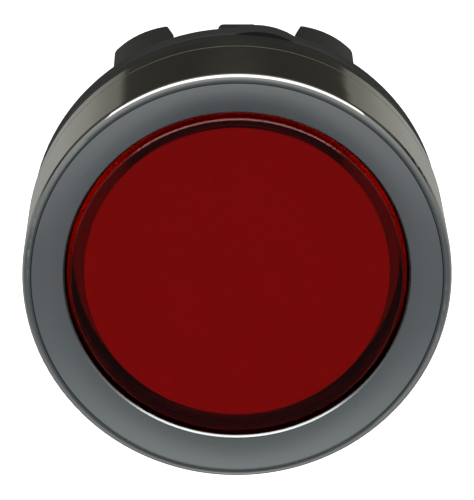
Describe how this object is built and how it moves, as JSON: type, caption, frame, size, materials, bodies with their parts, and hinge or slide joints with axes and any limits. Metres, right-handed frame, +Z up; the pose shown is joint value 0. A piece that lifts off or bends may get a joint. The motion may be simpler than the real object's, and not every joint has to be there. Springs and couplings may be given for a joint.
{
  "type": "push button head",
  "caption": "Round flush push-button head for a panel: metal bezel, red clear lens over a diffuser, sprung plunger, panel gasket, keyed barrel and rear lugs.",
  "frame": {"origin": "on the head's axis, in the panel's front plane, which is the rear face of the panel gasket", "axes": "+Y along the axis, into the panel, so the button faces -Y; +Z up, towards the locating key"},
  "size_m": [0.029, 0.0313, 0.029],
  "materials": {
    "chromed_metal": "satin chrome face, polished side",
    "black_plastic": "fine moulded texture",
    "natural_plastic": "smooth",
    "white_plastic": "smooth, translucent",
    "red_lens": "clear red, moulded gloss",
    "clear_plastic": "clear, moulded gloss",
    "nitrile_rubber": "matt",
    "silicone_rubber": "matt",
    "spring_steel": "bright drawn wire and blanked strip"
  },
  "bodies": {
    "root": {"bezel": "chromed_metal", "body": "black_plastic", "guide_bush": "natural_plastic", "rear_cage": "black_plastic", "panel_gasket": "nitrile_rubber", "seal_clamp_ring": "spring_steel", "diaphragm": "silicone_rubber", "bezel_o_ring": "nitrile_rubber", "rear_spring_washer": "spring_steel", "return_spring": "spring_steel"},
    "button": {"lens": "red_lens", "legend_insert": "white_plastic", "diffuser": "white_plastic", "lens_seal": "nitrile_rubber", "lens_carrier": "black_plastic", "light_guide": "clear_plastic", "plunger": "white_plastic", "retaining_clip": "spring_steel", "front_spring_washer": "spring_steel"}
  },
  "joints": [
    {"name": "push", "type": "slide", "parent": "root", "child": "button", "axis": [0, 1, 0], "range_m": [0, 0.0043], "stiffness_N_per_m": 350, "springref_m": -0.0071, "deforming": ["return_spring", "diaphragm"]}
  ]
}
